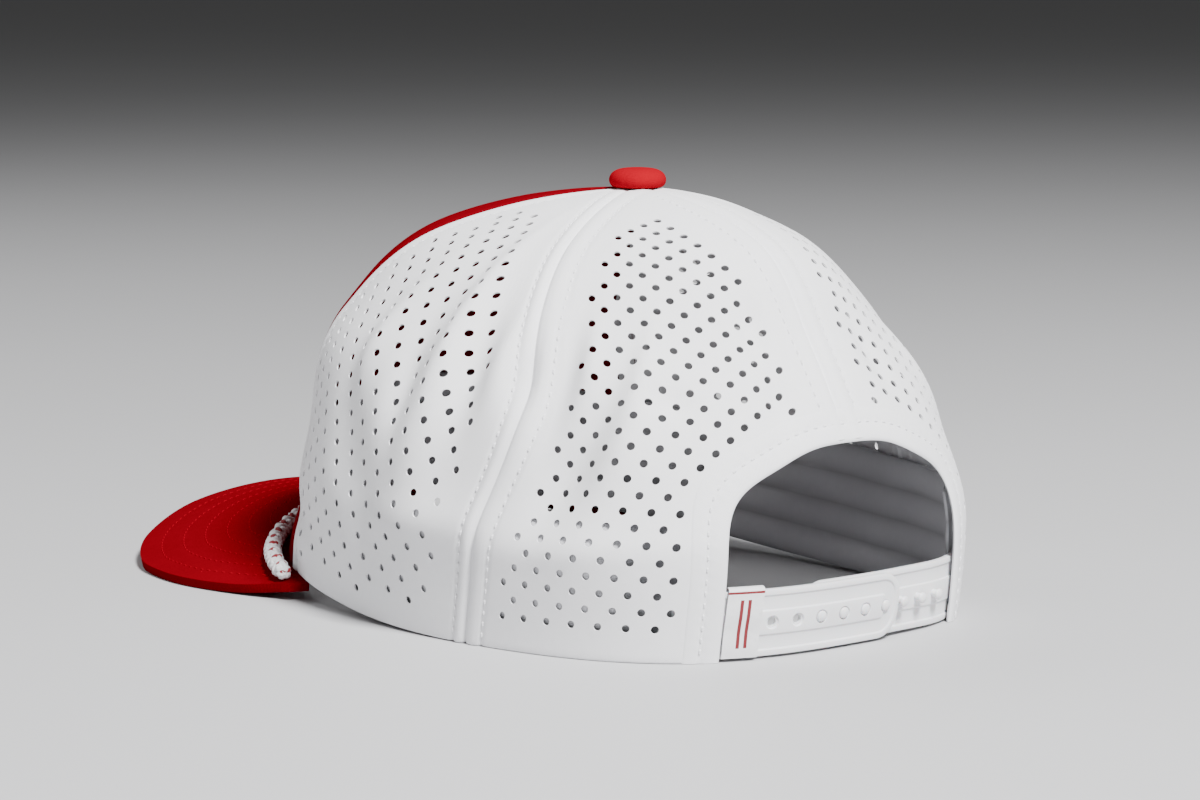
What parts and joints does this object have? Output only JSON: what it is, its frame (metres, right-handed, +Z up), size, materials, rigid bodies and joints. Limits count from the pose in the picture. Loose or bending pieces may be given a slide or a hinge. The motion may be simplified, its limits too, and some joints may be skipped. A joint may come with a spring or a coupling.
{
  "type": "snapback cap",
  "caption": "Structured snapback cap with perforated cloth crown, curved brim with a rope at its root, sweatband and snap strap under an arched rear opening.",
  "frame": {"origin": "on the surface that the cap lies on, under the middle of its bounding box", "axes": "+Z up, -Y toward the tip of the brim, +X toward the wearer's left"},
  "size_m": [0.1762, 0.2652, 0.1215],
  "materials": {
    "red_cloth": "matte woven cloth, deep red",
    "white_cloth": "matte fine technical cloth, white, pierced with small holes",
    "button_cloth": "cloth-covered button, red",
    "brim_cloth": "matte woven cloth over a stiff board, deep red",
    "rope_braid": "white braided cord with red flecks",
    "sweatband_cloth": "soft ribbed white cloth",
    "strap_plastic": "satin white moulded plastic",
    "label_cloth": "white woven tape with plain red stripes"
  },
  "bodies": {
    "root": {"front_panel": "red_cloth", "side_panel_left": "white_cloth", "side_panel_right": "white_cloth", "back_panel_left": "white_cloth", "back_panel_right": "white_cloth", "top_button": "button_cloth", "brim": "brim_cloth", "brim_rope": "rope_braid", "sweatband": "sweatband_cloth", "strap_holes": "strap_plastic", "strap_studs": "strap_plastic", "strap_label": "label_cloth"}
  },
  "joints": []
}
